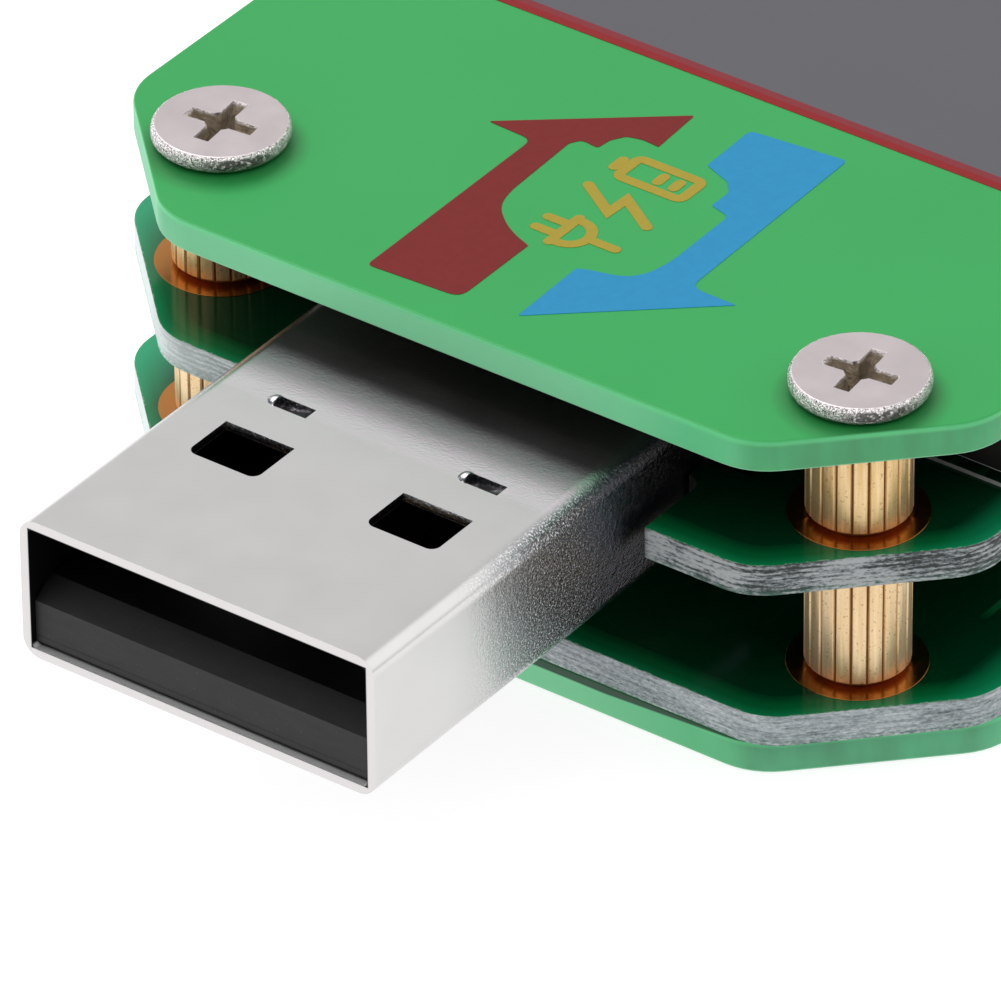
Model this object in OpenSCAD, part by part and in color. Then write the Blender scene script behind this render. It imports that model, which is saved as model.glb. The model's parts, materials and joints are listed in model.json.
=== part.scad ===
// USB power meter: two circuit boards between two green cover sheets, held by brass
// standoffs, with a type-A plug at the front end and a type-A socket at the back end.
// The front (plug) end points to -X, the display faces +Z, and Z = 0 is the underside of the
// bottom cover, on which the meter rests.

/* [Covers and boards] */
// Length of the covers and boards
cover_l = 58.6; // [56:0.2:64]
// Width of the covers and boards
cover_w = 29.3; // [29:0.1:32]
// How far the upper board's front edge stands out past the top cover's
upper_proud = 0.1; // [0:0.05:0.2]
// How far the bottom cover stands back from the top cover's front edge
bottom_setback = 0.2; // [0:0.05:0.3]
// How far the lower board stands back from the top cover's front edge
lower_setback = 0.1; // [0:0.05:0.3]
// How much wider the lower board and bottom cover are at each long edge
lower_extra = 0.2; // [0:0.05:0.3]
// Leg of the 45 degree cut at each corner of the top cover and upper board
corner_cut = 4.65; // [3.5:0.05:6]
// Leg of the same cut on the lower board
lower_cut = 4.5; // [3.5:0.05:6]
// Leg of the same cut on the bottom cover
bottom_cut = 4.85; // [3.5:0.05:6]
// Radius that blends the corners of the covers
cover_corner_r = 2.2; // [0.5:0.1:3]
// Radius that blends the corners of the boards
board_corner_r = 2.0; // [0.5:0.1:3]
// Thickness of each cover sheet
cover_t = 1.0; // [0.8:0.1:1.5]
// Thickness of each circuit board
board_t = 1.0; // [0.8:0.1:1.2]

/* [Screws and standoffs] */
// Length of the upper standoffs, between the upper board and the top cover
upper_gap = 3.0; // [3:0.1:4]
// Length of the lower standoffs, between the two boards
lower_gap = 4.0; // [4:0.1:6]
// Outer diameter of the standoffs
standoff_d = 3.0; // [2.8:0.1:3.4]
// Distance of the screws from the front and back edges
screw_inset_x = 4.0; // [3.8:0.05:4.5]
// Distance of the screws from the long edges
screw_inset_y = 3.75; // [3.5:0.05:4.2]
// Diameter of the screw threads
thread_d = 2.0; // [1.8:0.1:2]
// Diameter of the upper screw heads
head_d = 4.0; // [3.6:0.05:4.2]
// Height of the upper screw heads
head_h = 0.6; // [0.5:0.05:0.8]
// Diameter of the lower screw heads, which are sunk flush into the bottom cover
flat_head_d = 3.7; // [3.4:0.05:3.8]
// Thickness of the fibre washers under the lower board
washer_t = 0.1; // [0.05:0.05:0.3]

/* [Plug and sockets] */
// Length of the plug that stands out of the front edge
plug_reach = 11.65; // [11.5:0.05:13]
// Length of the output socket that stands out of the back edge
socket_reach = 0.95; // [0.3:0.05:1.5]
// Height of the plug's and socket's middle above the middle of the upper board
connector_lift = 0.08; // [0:0.02:0.2]
// Wall of the plug and socket shells
shell_t = 0.3; // [0.25:0.05:0.35]
// X position of the two side sockets
side_socket_x = 8.0; // [6:0.5:10]
// X position of the micro socket
micro_x = -12; // [-12.5:0.5:-11.5]

/* [Display] */
// Distance of the window's front edge from the covers' front edge
window_inset = 14.8; // [14:0.1:16]
// Length of the window, along X
window_l = 27.7; // [25:0.1:28]
// Width of the window, along Y
window_w = 26.1; // [24:0.1:26.4]
// Distance of the display's front edge from the covers' front edge
lcd_inset = 7.5; // [7.3:0.1:8]
// Length of the display module
lcd_l = 36.0; // [35:0.1:36.4]
// Width of the display module
lcd_w = 28.0; // [27.6:0.1:28.4]

/* [Buttons] */
// How far each button stands out of the long edge at rest
button_reach = 0.6; // [0.45:0.05:0.8]
// Travel of each button
button_travel = 0.25; // [0.15:0.05:0.25]
// X position of the front pair of buttons
button_front_x = -4.5; // [-5:0.5:-3.5]
// X position of the back pair of buttons
button_back_x = 18.0; // [17.5:0.5:19]

/* [Hidden] */

$fn = 48;
eps = 0.01;

// Levels of the stack, from the table up
lower_board_z = cover_t + washer_t;
lower_top_z = lower_board_z + board_t;
upper_board_z = lower_top_z + lower_gap;
upper_top_z = upper_board_z + board_t;
top_cover_z = upper_top_z + upper_gap;
stack_top_z = top_cover_z + cover_t;

// Places along X, with the whole object centred on X = 0
total_l = plug_reach + cover_l + socket_reach;
mouth_x = -total_l / 2;
front_x = mouth_x + plug_reach;
back_x = front_x + cover_l;
mid_x = (front_x + back_x) / 2;
edge_y = cover_w / 2;
lower_edge_y = edge_y + lower_extra;
screw_x = [front_x + screw_inset_x, back_x - screw_inset_x];
screw_y = edge_y - screw_inset_y;
screw_clear_d = thread_d + 0.2;
upper_screw_l = 3.0;
lower_screw_l = 4.0;
sink_gap = 0.04;
stud_l = 1.6;
ridge_n = 20;
ridge_depth = 0.11;
pillar_chamfer = 0.22;
recess_l = 2.2;
recess_w = 0.48;
recess_core_r = 0.46;
recess_turn = 6;
recess_depth = 0.8;

// Type-A plug and socket, both set about halfway through the upper board
connector_z = upper_board_z + board_t / 2 + connector_lift;
ear_z = board_t / 2 - connector_lift;
plug_w = 12.0;
plug_h = 4.5;
plug_inside = 5.8;
plug_l = plug_reach + plug_inside;
plug_z = connector_z - plug_h / 2;
socket_inner_w = 12.5;
socket_inner_h = 5.12;
socket_w = socket_inner_w + 2 * shell_t;
socket_h = socket_inner_h + 2 * shell_t;
socket_l = 14.0;
socket_mouth_x = back_x + socket_reach;
socket_front_x = socket_mouth_x - socket_l;
socket_z = connector_z - socket_h / 2;
notch_side = 0.6;
notch_l = 2.7;
slot_gap = 0.1;
a_pitch = [-3.5, -1.0, 1.0, 3.5];

// Type-C and micro sockets
c_w = 8.94;
c_h = 3.26;
c_l = 7.3;
c_wall = 0.3;
c_reach = 0.2;
micro_w = 7.5;
micro_h = 2.6;
micro_l = 5.0;
micro_wall = 0.3;

// Display stack on the upper board
lcd_x = front_x + lcd_inset;
lcd_tape_t = 0.2;
lcd_z = upper_top_z + lcd_tape_t;
lcd_floor_t = 0.2;
lcd_backlight_t = 0.9;
lcd_frame_h = lcd_floor_t + lcd_backlight_t + 0.2;
lcd_wall = 0.8;
lcd_sheet_t = 0.45;
lcd_glass_z = lcd_z + lcd_frame_h;
lcd_ledge = 5.2;
polarizer_t = 0.15;
bezel_t = 0.15;
window_x = front_x + window_inset;

// Side-pressed switches on the lower board
switch_w = 4.6;
switch_d = 3.0;
switch_h = 2.0;
switch_setback = 0.2;
button_w = 2.4;
button_h = 1.2;
button_flange = 0.6;
button_gap = 0.06;
button_z = lower_top_z + switch_h / 2;
dome_t = 0.12;

// ---------------------------------------------------------------- shared shapes

// Outline of the covers and boards, with corner radius r, front edge x0, half width y and
// corner cut c
module octagon(r, x0, y, c) {
    x1 = back_x;
    offset(r = r)
        offset(delta = -r)
            polygon([
                [x0 + c, -y], [x1 - c, -y], [x1, -y + c], [x1, y - c],
                [x1 - c, y], [x0 + c, y], [x0, y - c], [x0, -y + c]
            ]);
}

module at_screws() {
    for (x = screw_x, s = [-1, 1])
        translate([x, s * screw_y, 0])
            children();
}

// Bar along X whose section narrows with depth, cut down from z = 0
module tapered_slot(top_l, floor_l, top_w, floor_w, depth) {
    intersection() {
        rotate([90, 0, 0])
            linear_extrude(top_w + 1, center = true)
                taper_section(top_l, floor_l, depth);
        rotate([90, 0, 90])
            linear_extrude(top_l + 1, center = true)
                taper_section(top_w, floor_w, depth);
    }
}

module taper_section(top, bottom, depth) {
    polygon([
        [-top / 2, 0.2], [-top / 2, 0], [-bottom / 2, -depth],
        [bottom / 2, -depth], [top / 2, 0], [top / 2, 0.2]
    ]);
}

module screw_holes(z, t) {
    at_screws()
        translate([0, 0, z - 1])
            cylinder(h = t + 2, d = screw_clear_d);
}

module block(low, high) {
    translate(low)
        cube(high - low);
}

// Bar along X with a rounded rectangular section, from x = 0 to x = l
module rounded_bar(l, w, h, r) {
    rotate([90, 0, 90])
        linear_extrude(l)
            offset(r = r)
                square([w - 2 * r, h - 2 * r], center = true);
}

// Tube with a rounded rectangular section, open at both ends
module rounded_tube(l, w, h, t, r, inner_r) {
    difference() {
        rounded_bar(l, w, h, r);
        translate([-1, 0, 0])
            rounded_bar(l + 2, w - 2 * t, h - 2 * t, inner_r);
    }
}

module chip(x, y, z, size, colour = "#202224") {
    color(colour)
        translate([x - size[0] / 2, y - size[1] / 2, z])
            cube(size);
}

// ---------------------------------------------------------------- covers and boards

module top_cover() {
    color("#52b26b")
        difference() {
            translate([0, 0, top_cover_z])
                linear_extrude(cover_t)
                    octagon(cover_corner_r, front_x, edge_y, corner_cut);
            screw_holes(top_cover_z, cover_t);
            block([window_x, -window_w / 2, top_cover_z - 1],
                  [window_x + window_l, window_w / 2, stack_top_z + 1]);
        }
}

module display_window() {
    color("#6d6c72")
        block([window_x, -window_w / 2, top_cover_z],
              [window_x + window_l, window_w / 2, stack_top_z]);
}

// Its holes are countersunk from below
module bottom_cover() {
    sink_r = flat_head_d / 2 + sink_gap;
    color("#6ab28c")
        difference() {
            linear_extrude(cover_t)
                octagon(cover_corner_r, front_x + bottom_setback, lower_edge_y, bottom_cut);
            screw_holes(0, cover_t);
            at_screws()
                translate([0, 0, -eps])
                    cylinder(h = sink_r, r1 = sink_r, r2 = 0);
        }
}

// Wide mouth of the cut-out for the plug, with round inner corners
module plug_notch() {
    r = notch_side - slot_gap;
    wide = plug_w / 2 + notch_side;
    block([front_x - 1, -wide, upper_board_z - 1],
          [front_x + notch_l - r, wide, upper_top_z + 1]);
    for (s = [-1, 1])
        translate([front_x + notch_l - r, s * (wide - r), upper_board_z - 1])
            cylinder(h = board_t + 2, r = r);
}

// The upper board is cut out at both ends, so that the plug and socket sit in it
module upper_board() {
    color("#0d4a24")
        difference() {
            translate([0, 0, upper_board_z])
                linear_extrude(board_t)
                    octagon(board_corner_r, front_x - upper_proud, edge_y, corner_cut);
            screw_holes(upper_board_z, board_t);
            plug_notch();
            block([mouth_x, -plug_w / 2 - slot_gap, upper_board_z - 1],
                  [mouth_x + plug_l + slot_gap, plug_w / 2 + slot_gap, upper_top_z + 1]);
            block([socket_front_x - 0.2, -socket_w / 2 - 0.2, upper_board_z - 1],
                  [back_x + 1, socket_w / 2 + 0.2, upper_top_z + 1]);
        }
}

module lower_board() {
    color("#0d4a24")
        difference() {
            translate([0, 0, lower_board_z])
                linear_extrude(board_t)
                    octagon(board_corner_r, front_x + lower_setback, lower_edge_y, lower_cut);
            screw_holes(lower_board_z, board_t);
        }
}

// ---------------------------------------------------------------- fasteners

// Round pillar with straight ridges all round it and chamfered ends
module knurled_pillar(z, h) {
    r = standoff_d / 2;
    c = pillar_chamfer;
    step = 360 / ridge_n;
    translate([0, 0, z])
        intersection() {
            linear_extrude(h)
                polygon([
                    for (i = [0 : ridge_n - 1], p = [[-0.38, 0], [0, 0], [0.38, 0], [0.5, 1]])
                        (r - p[1] * ridge_depth) * [cos((i + p[0]) * step), sin((i + p[0]) * step)]
                ]);
            rotate_extrude()
                polygon([[0, 0], [r - c, 0], [r, c], [r, h - c], [r - c, h], [0, h]]);
        }
}

// Upper standoffs end in a stud that passes the upper board into the lower standoffs
module upper_standoffs() {
    color("#d7af69")
        at_screws()
            difference() {
                union() {
                    knurled_pillar(upper_top_z, upper_gap);
                    translate([0, 0, upper_board_z - stud_l])
                        cylinder(h = stud_l + board_t + eps, d = thread_d - 0.04);
                }
                translate([0, 0, top_cover_z - upper_gap + 0.6])
                    cylinder(h = upper_gap, d = thread_d);
            }
}

module lower_standoffs() {
    color("#d7af69")
        at_screws()
            difference() {
                knurled_pillar(lower_top_z, lower_gap);
                translate([0, 0, lower_top_z - 1])
                    cylinder(h = lower_gap + 2, d = thread_d);
            }
}

// Cross recess with a round middle that narrows towards its floor, cut down from z = 0
module cross_recess() {
    for (a = [0, 90])
        rotate(a + recess_turn)
            tapered_slot(recess_l, 0.8, recess_w, 0.3, recess_depth);
    translate([0, 0, -recess_depth])
        cylinder(h = recess_depth + eps, r1 = recess_core_r / 2, r2 = recess_core_r);
}

// Wafer-head screw; its head stands on z = 0 and its shank points down
module wafer_screw(l) {
    r = head_d / 2;
    difference() {
        union() {
            rotate_extrude()
                polygon([
                    [0, 0], [r - 0.26, 0], [r - 0.1, 0.14 * head_h], [r - 0.02, 0.33 * head_h],
                    [r, 0.53 * head_h], [r - 0.02, 0.8 * head_h], [r - 0.07, 0.93 * head_h],
                    [r - 0.15, head_h], [0, head_h]
                ]);
            translate([0, 0, -l])
                cylinder(h = l + eps, d = thread_d - 0.04);
        }
        translate([0, 0, head_h])
            cross_recess();
    }
}

// Countersunk screw; its flat head lies on z = 0 and its shank points down
module flat_screw(l) {
    r = flat_head_d / 2;
    shank_r = thread_d / 2 - 0.02;
    difference() {
        rotate_extrude()
            polygon([[0, 0], [r, 0], [shank_r, shank_r - r], [shank_r, -l], [0, -l]]);
        cross_recess();
    }
}

module top_screws() {
    color("#c8c0c2")
        at_screws()
            translate([0, 0, stack_top_z])
                wafer_screw(upper_screw_l);
}

module bottom_screws() {
    color("#c8c0c2")
        at_screws()
            rotate([180, 0, 0])
                flat_screw(lower_screw_l);
}

module fibre_washers() {
    color("#3a2a22")
        at_screws()
            translate([0, 0, cover_t])
                difference() {
                    cylinder(h = washer_t, d = head_d);
                    translate([0, 0, -1])
                        cylinder(h = washer_t + 2, d = screw_clear_d);
                }
}

// ---------------------------------------------------------------- type-A plug

hole_l = 1.8;
hole_w = 2.35;
hole_x = 5.15;
hole_y = 1.85;
hole_r = 0.3;
lance_x = 8.3;
lance_y = 2.5;
lance_l = 1.12;
lance_w = 0.5;
lance_pitch = 6.5;
bump_h = 0.14;
bump_r = 0.26;
ear_l = 2.2;
ear_w = 1.5;

// Windows for the socket's springs, with their two front corners rounded
module plug_windows() {
    for (s = [0, 1])
        mirror([0, s, 0])
            translate([hole_x, hole_y, -1])
                linear_extrude(plug_h + 2)
                    union() {
                        translate([hole_r, 0])
                            square([hole_l - hole_r, hole_w]);
                        translate([0, hole_r])
                            square([hole_l - hole_r, hole_w - 2 * hole_r]);
                        for (y = [hole_r, hole_w - hole_r])
                            translate([hole_r, y])
                                circle(hole_r);
                    }
}

// Slots whose floor falls steeply at one end and rises gently to the other
module lance_slots() {
    for (y = [lance_y, lance_y - lance_pitch])
        translate([lance_x, y, plug_h])
            rotate([90, 0, 90])
                linear_extrude(lance_w)
                    polygon([
                        [0, 0.5], [0, -0.08], [0.72 * lance_l, -0.22], [lance_l, -0.22],
                        [lance_l, 0.5]
                    ]);
}

// Raised lip at the steep end of each slot
module lance_bumps() {
    ball_r = (bump_r * bump_r + bump_h * bump_h) / (2 * bump_h);
    intersection() {
        for (y = [lance_y, lance_y - lance_pitch])
            translate([lance_x + lance_w / 2, y + lance_l + 0.06, plug_h + bump_h - ball_r])
                sphere(r = ball_r);
        block([0, -plug_w / 2, plug_h - 0.1], [plug_l, plug_w / 2, plug_h + 1]);
    }
}

module plug_shell() {
    color("#c5c5c5")
        translate([mouth_x, 0, plug_z]) {
            difference() {
                union() {
                    translate([0, 0, plug_h / 2])
                        rounded_tube(plug_l, plug_w, plug_h, shell_t, 0.6, 0.15);
                    lance_bumps();
                }
                plug_windows();
                lance_slots();
            }
            // Ears that lie on the upper board beside the notch
            for (s = [0, 1])
                mirror([0, s, 0])
                    block([plug_l - ear_l, plug_w / 2 - 0.1, upper_top_z - plug_z],
                          [plug_l, plug_w / 2 + ear_w, upper_top_z - plug_z + shell_t]);
        }
}

tongue_top = 2.25;
tongue_front = 0.18;
plug_rear_l = 5.5;

// Tongue with a chamfered front edge, and the block behind it that fills the shell
module plug_insulator() {
    end = plug_l - 0.4;
    inside_w = plug_w - 2 * shell_t;
    inside_h = plug_h - 2 * shell_t;
    color("#3a3a3c")
        translate([mouth_x, 0, plug_z])
            intersection() {
                translate([0, 0, plug_h / 2])
                    rounded_bar(plug_l, inside_w - 0.04, inside_h, 0.17);
                rotate([90, 0, 0])
                    linear_extrude(plug_w, center = true)
                        polygon([
                            [tongue_front + 0.1, 0], [end, 0], [end, plug_h],
                            [plug_l - plug_rear_l, plug_h], [plug_l - plug_rear_l, tongue_top],
                            [tongue_front + 0.75, tongue_top], [tongue_front, tongue_top - 0.5],
                            [tongue_front, shell_t + 0.13], [tongue_front + 0.1, shell_t + 0.11]
                        ]);
            }
}

// Four blades on the tongue, whose tails come out behind the shell onto the board
module plug_contacts() {
    tail_z = upper_top_z - plug_z;
    color("#d6b25a")
        translate([mouth_x, 0, plug_z])
            for (y = a_pitch) {
                block([2.9, y - 0.5, tongue_top], [plug_l - plug_rear_l, y + 0.5, tongue_top + 0.1]);
                block([plug_l - 0.4, y - 0.3, tail_z], [plug_l + 1.4, y + 0.3, tail_z + 0.2]);
            }
}

// ---------------------------------------------------------------- type-A output socket

module socket_shell() {
    color("#c9c9c9")
        translate([socket_front_x, 0, connector_z]) {
            rounded_tube(socket_l, socket_w, socket_h, shell_t, 0.7, 0.4);
            for (s = [0, 1])
                mirror([0, s, 0])
                    block([3, socket_w / 2 - 0.1, ear_z],
                          [5.4, socket_w / 2 + 1.2, ear_z + shell_t]);
        }
}

socket_tongue_t = 1.8;
socket_tongue_l = 8.6;
socket_block_l = 4.6;

module socket_insulator() {
    w = socket_inner_w - 0.1;
    h = socket_inner_h - 0.1;
    tongue_end = socket_block_l + socket_tongue_l;
    color("#1d1d20")
        translate([socket_front_x, 0, connector_z]) {
            block([0.2, -w / 2 + 0.4, -h / 2], [socket_block_l, w / 2 - 0.4, h / 2]);
            block([socket_block_l - eps, -5.55, 0.55],
                  [tongue_end, 5.55, 0.55 + socket_tongue_t]);
        }
}

module socket_contacts() {
    color("#d6b25a")
        translate([socket_front_x, 0, connector_z])
            for (y = a_pitch) {
                block([socket_block_l, y - 0.5, 0.35],
                      [socket_block_l + 7.2, y + 0.5, 0.55]);
                block([-1.2, y - 0.3, ear_z], [0.2, y + 0.3, ear_z + 0.2]);
            }
}

// ---------------------------------------------------------------- side sockets

// Places a socket drawn along X at a long edge: side is -1 for the right edge, 1 for the left
module at_side(side, x, h) {
    translate([x, 0, lower_top_z + h / 2])
        rotate(side * 90)
            children();
}

module c_shell(side) {
    color("#c4c4c6")
        at_side(side, side_socket_x, c_h)
            translate([lower_edge_y + c_reach - c_l, 0, 0])
                rounded_tube(c_l, c_w, c_h, c_wall, 1.55, 1.25);
}

module c_insulator(side) {
    color("#1b1b1d")
        at_side(side, side_socket_x, c_h)
            translate([lower_edge_y + c_reach - c_l, 0, 0]) {
                translate([0.1, 0, 0])
                    rounded_bar(1.8, c_w - 2 * c_wall - 0.1, c_h - 2 * c_wall - 0.1, 1.2);
                block([1.8, -3.3, -0.35], [6.2, 3.3, 0.35]);
            }
}

module c_contacts(side) {
    color("#d6b25a")
        at_side(side, side_socket_x, c_h)
            translate([lower_edge_y + c_reach - c_l, 0, 0])
                for (i = [-5.5 : 5.5], s = [-1, 1])
                    translate([2.0, i * 0.5 - 0.13, s > 0 ? 0.35 : -0.41])
                        cube([3.8, 0.26, 0.06]);
}

module input_c_shell() { c_shell(-1); }
module input_c_insulator() { c_insulator(-1); }
module input_c_contacts() { c_contacts(-1); }
module output_c_shell() { c_shell(1); }
module output_c_insulator() { c_insulator(1); }
module output_c_contacts() { c_contacts(1); }

// Outline of the micro socket: a rectangle with its two lower corners cut
module micro_outline(w, h) {
    cut = 0.7;
    polygon([
        [-w / 2, h / 2], [w / 2, h / 2], [w / 2, -h / 2 + cut],
        [w / 2 - cut, -h / 2], [-w / 2 + cut, -h / 2], [-w / 2, -h / 2 + cut]
    ]);
}

module micro_bar(l, w, h) {
    rotate([90, 0, 90])
        linear_extrude(l)
            micro_outline(w, h);
}

module at_micro() {
    at_side(1, micro_x, micro_h)
        translate([lower_edge_y + c_reach - micro_l, 0, 0])
            children();
}

module micro_shell() {
    color("#c4c4c6")
        at_micro()
            difference() {
                micro_bar(micro_l, micro_w, micro_h);
                translate([-1, 0, 0])
                    micro_bar(micro_l + 2, micro_w - 2 * micro_wall, micro_h - 2 * micro_wall);
            }
}

module micro_insulator() {
    color("#1b1b1d")
        at_micro() {
            translate([0.1, 0, 0])
                micro_bar(1.2, micro_w - 2 * micro_wall - 0.1, micro_h - 2 * micro_wall - 0.1);
            block([1.2, -1.9, 0.1], [4.3, 1.9, 0.6]);
        }
}

module micro_contacts() {
    color("#d6b25a")
        at_micro()
            for (i = [-2 : 2])
                translate([1.4, i * 0.65 - 0.16, 0.04])
                    cube([2.6, 0.32, 0.06]);
}

// ---------------------------------------------------------------- display

module lcd_tape() {
    color("#e8e4d8")
        block([lcd_x + 1, -lcd_w / 2 + 1, upper_top_z],
              [lcd_x + lcd_l - 1, lcd_w / 2 - 1, lcd_z]);
}

module lcd_frame() {
    color("#cfd3d6")
        difference() {
            block([lcd_x, -lcd_w / 2, lcd_z], [lcd_x + lcd_l, lcd_w / 2, lcd_glass_z]);
            block([lcd_x + lcd_wall, -lcd_w / 2 + lcd_wall, lcd_z + lcd_floor_t],
                  [lcd_x + lcd_l - lcd_wall, lcd_w / 2 - lcd_wall, lcd_glass_z + 1]);
        }
}

module lcd_backlight() {
    gap = 0.05;
    color("#f2f4f4")
        block([lcd_x + lcd_wall + gap, -lcd_w / 2 + lcd_wall + gap, lcd_z + lcd_floor_t],
              [lcd_x + lcd_l - lcd_wall - gap, lcd_w / 2 - lcd_wall - gap,
               lcd_z + lcd_floor_t + lcd_backlight_t]);
}

// Two bonded sheets; the upper one stops short of the driver ledge at the front
module lcd_glass() {
    inset = 0.3;
    color("#50565c")
        union() {
            block([lcd_x + inset, -lcd_w / 2 + inset, lcd_glass_z],
                  [lcd_x + lcd_l - inset, lcd_w / 2 - inset, lcd_glass_z + lcd_sheet_t]);
            block([lcd_x + lcd_ledge, -lcd_w / 2 + inset, lcd_glass_z + lcd_sheet_t - eps],
                  [lcd_x + lcd_l - inset, lcd_w / 2 - inset, lcd_glass_z + 2 * lcd_sheet_t]);
        }
}

module lcd_polarizer() {
    z = lcd_glass_z + 2 * lcd_sheet_t;
    color("#5c5c62")
        block([lcd_x + lcd_ledge + 0.4, -lcd_w / 2 + 0.7, z],
              [lcd_x + lcd_l - 0.7, lcd_w / 2 - 0.7, z + polarizer_t]);
}

// Black band round the outside of the display, just above the foot of its frame
module lcd_bezel() {
    foot = 0.15;
    top_z = lcd_glass_z + 2 * lcd_sheet_t;
    color("#151517")
        difference() {
            block([lcd_x - bezel_t, -lcd_w / 2 - bezel_t, lcd_z + foot],
                  [lcd_x + lcd_l + bezel_t, lcd_w / 2 + bezel_t, top_z]);
            block([lcd_x, -lcd_w / 2, lcd_z - 1],
                  [lcd_x + lcd_l, lcd_w / 2, top_z + 1]);
        }
}

module lcd_driver() {
    chip(lcd_x + 2.2, 0, lcd_glass_z + lcd_sheet_t, [1.2, 14, 0.4], "#303236");
}

flex_w = 5.0;
flex_y = 7.4;
flex_t = 0.12;

// Tail that leaves the driver ledge, turns down at the front and is soldered to the board
module lcd_flex() {
    z0 = upper_top_z;
    z1 = lcd_glass_z + lcd_sheet_t;
    x_out = lcd_x - bezel_t - 0.3;
    color("#b5651d")
        translate([0, flex_y - flex_w / 2, 0])
            union() {
                block([x_out - flex_t, 0, lcd_glass_z + 2 * lcd_sheet_t + 0.02],
                      [lcd_x + 1.2, flex_w, lcd_glass_z + 2 * lcd_sheet_t + 0.02 + flex_t]);
                block([x_out - flex_t, 0, z0],
                      [x_out, flex_w, lcd_glass_z + 2 * lcd_sheet_t + 0.02 + flex_t]);
                block([x_out - 0.8, 0, z0], [x_out, flex_w, z0 + flex_t]);
                block([lcd_x + 1.2 - flex_t, 0, z1],
                      [lcd_x + 1.2, flex_w, lcd_glass_z + 2 * lcd_sheet_t + 0.02 + flex_t]);
            }
}

// ---------------------------------------------------------------- buttons and switches

// A button drawn for the left edge, pressed towards -Y
module button(x, side) {
    face_y = lower_edge_y + button_reach;
    housing_y = lower_edge_y - switch_setback;
    color("#1c1c1e")
        translate([x, 0, button_z])
            mirror([0, side < 0 ? 1 : 0, 0]) {
                block([-button_w / 2, housing_y - 0.9, -button_h / 2],
                      [button_w / 2, face_y, button_h / 2]);
                block([-button_w / 2 - button_flange, housing_y - 1.3, -button_h / 2],
                      [button_w / 2 + button_flange, housing_y - 0.85, button_h / 2]);
            }
}

module button_front_right() { button(button_front_x, -1); }
module button_front_left() { button(button_front_x, 1); }
module button_back_right() { button(button_back_x, -1); }
module button_back_left() { button(button_back_x, 1); }

module at_switches() {
    for (x = [button_front_x, button_back_x], s = [0, 1])
        translate([x, 0, lower_top_z])
            mirror([0, s, 0])
                children();
}

// Each housing is a box with a chamber for the button's flange and a slot for its stem
module switch_housings() {
    housing_y = lower_edge_y - switch_setback;
    z0 = switch_h / 2 - button_h / 2 - button_gap;
    z1 = switch_h / 2 + button_h / 2 + button_gap;
    half = button_w / 2 + button_gap;
    wide = half + button_flange;
    color("#2a2a2d")
        at_switches()
            difference() {
                block([-switch_w / 2, housing_y - switch_d, 0],
                      [switch_w / 2, housing_y, switch_h]);
                block([-wide, housing_y - switch_d + 0.5, z0], [wide, housing_y - 0.75, z1]);
                block([-half, housing_y - 1, z0], [half, housing_y + 1, z1]);
            }
}

// Arched contact springs behind the buttons
module switch_domes() {
    wall_y = lower_edge_y - switch_setback - switch_d + 0.5;
    tip_y = lower_edge_y - switch_setback - 1.3 - button_travel - 0.08;
    rise = tip_y - wall_y;
    half = button_w / 2 + 0.3;
    color("#c9b27c")
        at_switches()
            translate([0, wall_y, switch_h / 2 - 0.45])
                linear_extrude(0.9)
                    polygon([
                        [-half, 0], [-half + 0.3, 0], [-0.5, rise - dome_t], [0.5, rise - dome_t],
                        [half - 0.3, 0], [half, 0], [0.5, rise], [-0.5, rise]
                    ]);
}

// ---------------------------------------------------------------- board-to-board header

header_n = 6;
header_pitch = 2.0;
header_x = -5;
header_y = -10.2;
header_l = header_n * header_pitch;

module header_plug() {
    color("#18181a")
        difference() {
            block([header_x - header_l / 2, header_y - 1, lower_top_z],
                  [header_x + header_l / 2, header_y + 1, lower_top_z + 1.4]);
            header_pin_row(0.56);
        }
}

module header_socket() {
    color("#18181a")
        difference() {
            block([header_x - header_l / 2, header_y - 1.1, lower_top_z + 1.5],
                  [header_x + header_l / 2, header_y + 1.1, upper_board_z]);
            header_pin_row(0.56);
        }
}

module header_pin_row(size) {
    for (i = [0 : header_n - 1])
        translate([header_x - header_l / 2 + (i + 0.5) * header_pitch - size / 2,
                   header_y - size / 2, lower_top_z])
            cube([size, size, lower_gap]);
}

module header_pins() {
    color("#d6b25a")
        header_pin_row(0.5);
}

// ---------------------------------------------------------------- parts on the lower board

module controller_chip() { chip(-2, 0, lower_top_z + 0.1, [7, 7, 1.4]); }

module controller_leads() {
    color("#b9bcc0")
        translate([-2, 0, lower_top_z])
            for (a = [0 : 90 : 270], i = [-5.5 : 5.5])
                rotate(a)
                    translate([3.5, i * 0.5 - 0.11, 0])
                        cube([1.0, 0.22, 0.15]);
}

module memory_chip() { chip(-14.5, -6.8, lower_top_z, [4.9, 3.9, 1.5]); }
module regulator_chip() { chip(15, 0, lower_top_z, [3, 3, 0.9]); }
module driver_chip() { chip(-11.5, 2.4, lower_top_z, [3, 4.4, 1.1]); }
module shunt_resistor() { chip(9, 3.6, lower_top_z, [6.4, 3.2, 0.6], "#3b3f3a"); }
module inductor() { chip(8.6, -3.6, lower_top_z, [5, 5, 2], "#4a4a4c"); }
module crystal() { chip(-9.5, -3.6, lower_top_z, [3.2, 2.5, 0.8], "#c0c0c4"); }

module tantalum_capacitors() {
    for (y = [-3.4, 3.4])
        chip(19.2, y, lower_top_z, [3.5, 2.8, 1.9], "#c08a2c");
}

module ceramic_capacitors() {
    for (x = [-15, -17.5, 4], y = [-2.2, 4])
        chip(x, y, lower_top_z, [1, 1.6, 0.8], "#9c7c56");
}

module resistors() {
    for (i = [0 : 4], y = [-5.6, 7.4])
        chip(-5 + 1.9 * i, y, lower_top_z, [0.8, 1.5, 0.45], "#26282a");
}

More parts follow.
